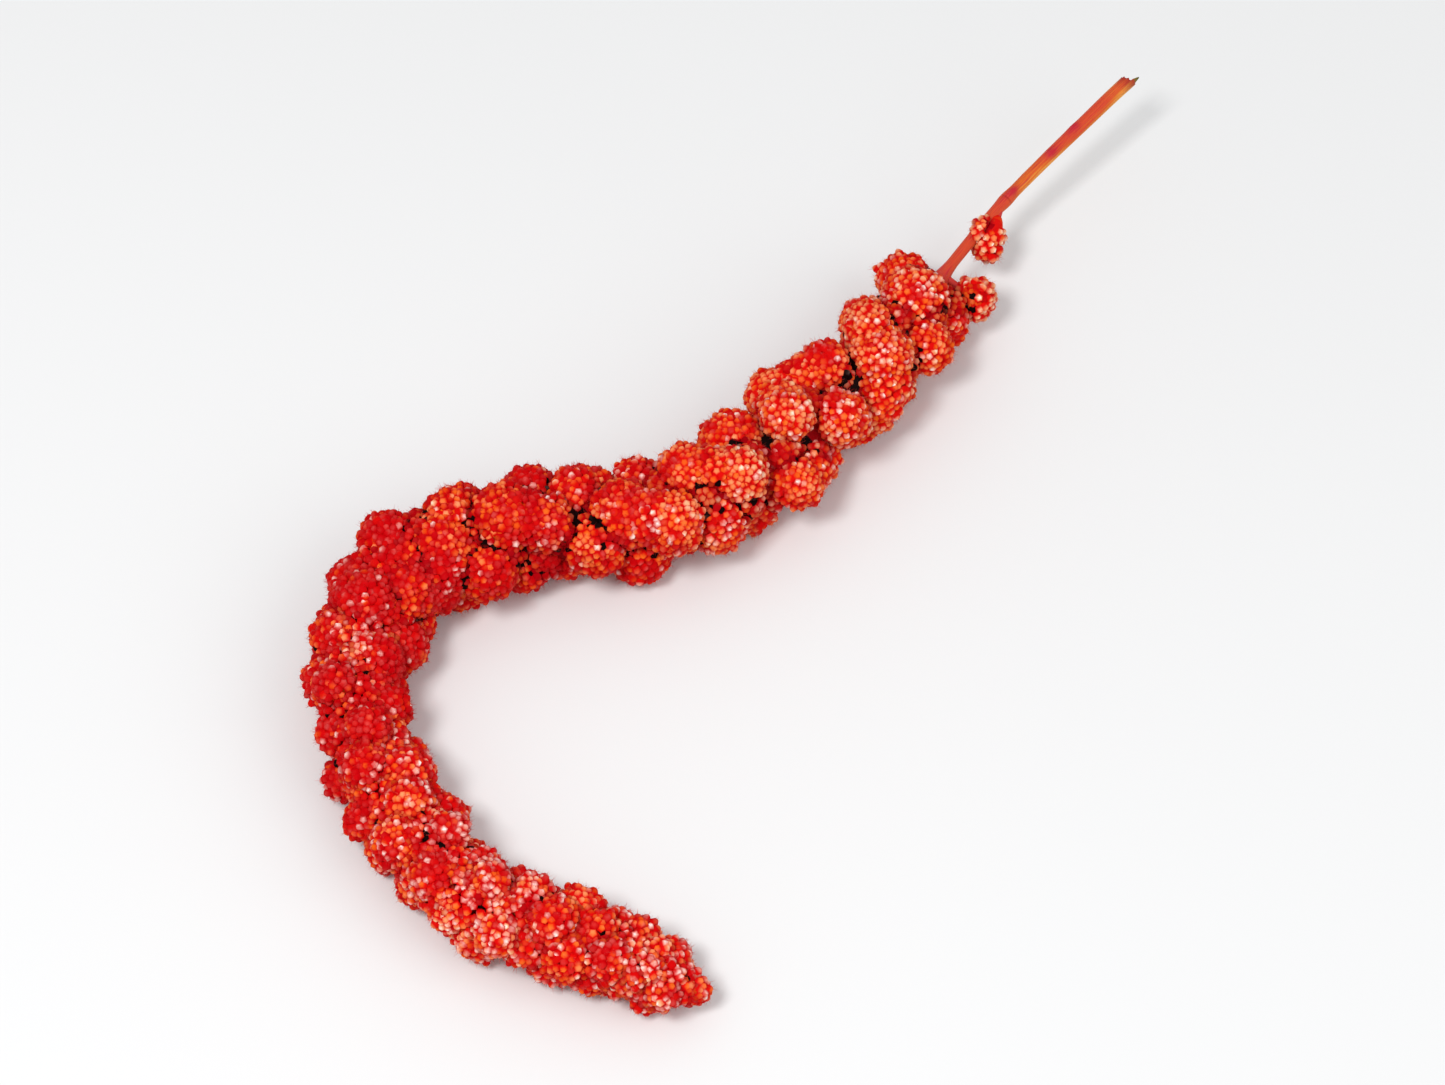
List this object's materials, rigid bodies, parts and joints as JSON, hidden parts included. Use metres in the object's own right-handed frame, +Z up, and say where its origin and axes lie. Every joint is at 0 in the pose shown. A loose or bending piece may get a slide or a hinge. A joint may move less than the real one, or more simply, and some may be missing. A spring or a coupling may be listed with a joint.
{
  "type": "millet seed head",
  "caption": "Dried foxtail millet seed head, dyed red, curved like a hook and packed with round lobes of tiny seeds, on a short cut stalk, lying flat.",
  "frame": {"origin": "on the table under the middle of the part's box", "axes": "+Z up from the table, +Y along the part's length towards the cut end of the stalk, +X to the right seen from above"},
  "size_m": [0.1707, 0.2208, 0.0272],
  "materials": {
    "stalk": "dry dyed straw, satin",
    "seed_head": "dyed seeds, satin with small glints"
  },
  "bodies": {
    "root": {"stalk": "stalk", "seed_head": "seed_head"}
  },
  "joints": []
}
